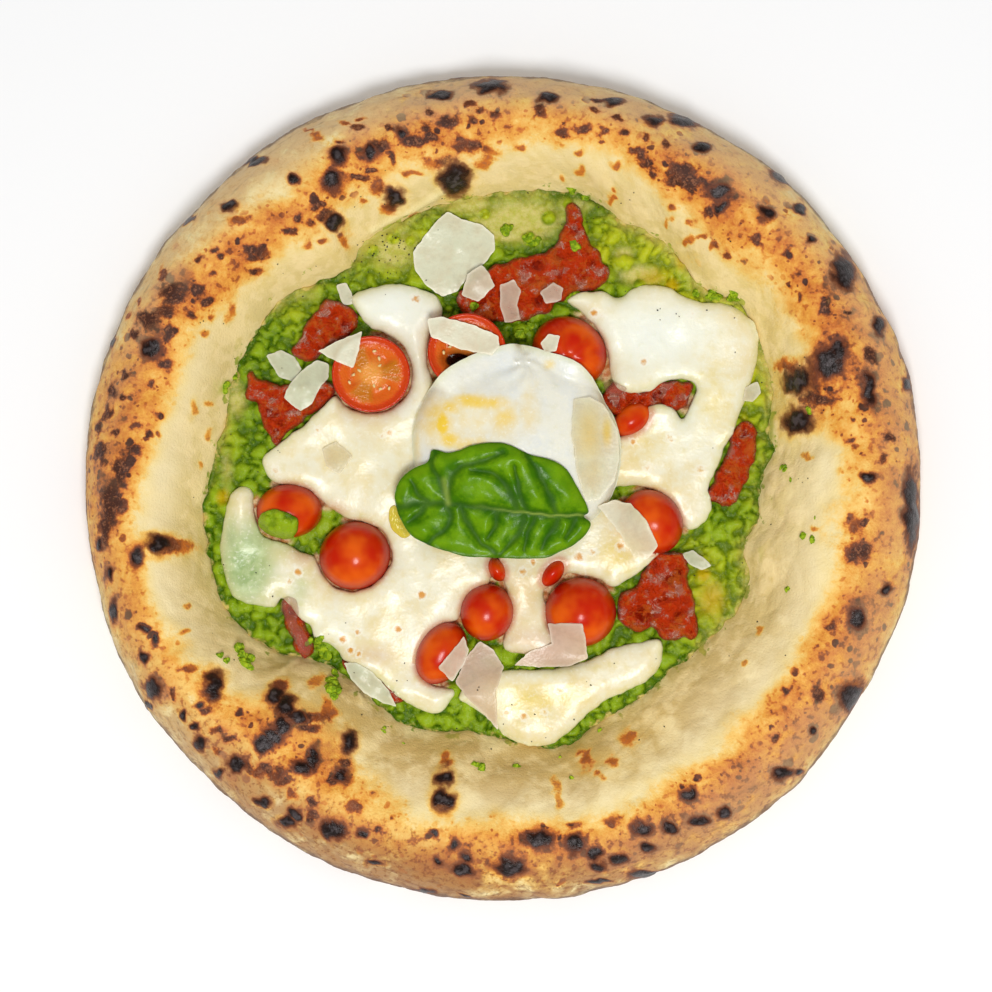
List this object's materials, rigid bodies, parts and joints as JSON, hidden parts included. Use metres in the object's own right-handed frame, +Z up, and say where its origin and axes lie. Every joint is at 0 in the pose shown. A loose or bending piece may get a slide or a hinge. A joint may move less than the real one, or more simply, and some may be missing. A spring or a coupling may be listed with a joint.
{
  "type": "pizza",
  "caption": "Round Neapolitan-style pizza with a tall charred rim, green pea cream, mozzarella, burrata, cherry and dried tomatoes, cheese shavings and a basil leaf.",
  "frame": {"origin": "centre of the flat underside", "axes": "+Z up out of the base; +Y points to the top of the picture, which looks straight down; +X to its right, where the basil leaf's stalk end points"},
  "size_m": [0.3108, 0.307, 0.0338],
  "materials": {
    "crust": "baked dough, pale cream to golden brown with near-black charred blisters, dry and matte",
    "pea_cream": "lumpy bright green cream, moist",
    "mozzarella": "melted cheese, ivory, moist, with a few toasted spots",
    "burrata": "smooth white fresh cheese, wet",
    "tomato": "glossy red skin, orange-red where cut",
    "dried_tomato": "dark red, wrinkled and oily",
    "shaving": "thin half-clear flakes of hard cheese",
    "basil": "fresh green leaf, slightly glossy, puffed up between its veins"
  },
  "bodies": {
    "root": {"crust": "crust", "pea_cream": "pea_cream", "dried_tomato_north": "dried_tomato", "dried_tomato_northwest": "dried_tomato", "dried_tomato_west": "dried_tomato", "dried_tomato_east": "dried_tomato", "dried_tomato_southeast": "dried_tomato", "dried_tomato_southwest": "dried_tomato", "dried_tomato_south": "dried_tomato", "dried_tomato_middle": "dried_tomato", "tomato_half_left": "tomato", "tomato_half_top": "tomato", "tomato_west": "tomato", "tomato_southwest": "tomato", "tomato_south_a": "tomato", "tomato_south_b": "tomato", "tomato_southeast": "tomato", "tomato_east": "tomato", "tomato_north": "tomato", "tomato_middle_right": "tomato", "tomato_sliver_a": "tomato", "tomato_sliver_b": "tomato", "mozzarella_left": "mozzarella", "mozzarella_right": "mozzarella", "mozzarella_bottom": "mozzarella", "mozzarella_middle": "mozzarella", "burrata": "burrata", "pea_clump": "pea_cream", "shaving_north": "shaving", "shaving_north_small": "shaving", "shaving_strip": "shaving", "shaving_triangle": "shaving", "shaving_west_a": "shaving", "shaving_west_b": "shaving", "shaving_red_a": "shaving", "shaving_red_b": "shaving", "shaving_round": "shaving", "shaving_pea": "shaving", "shaving_south_a": "shaving", "shaving_south_b": "shaving", "shaving_south_c": "shaving", "shaving_southwest": "shaving", "shaving_burrata": "shaving", "shaving_east": "shaving", "shaving_melted": "shaving", "shaving_shred": "shaving", "shaving_tomato": "shaving", "basil_leaf": "basil"}
  },
  "joints": []
}
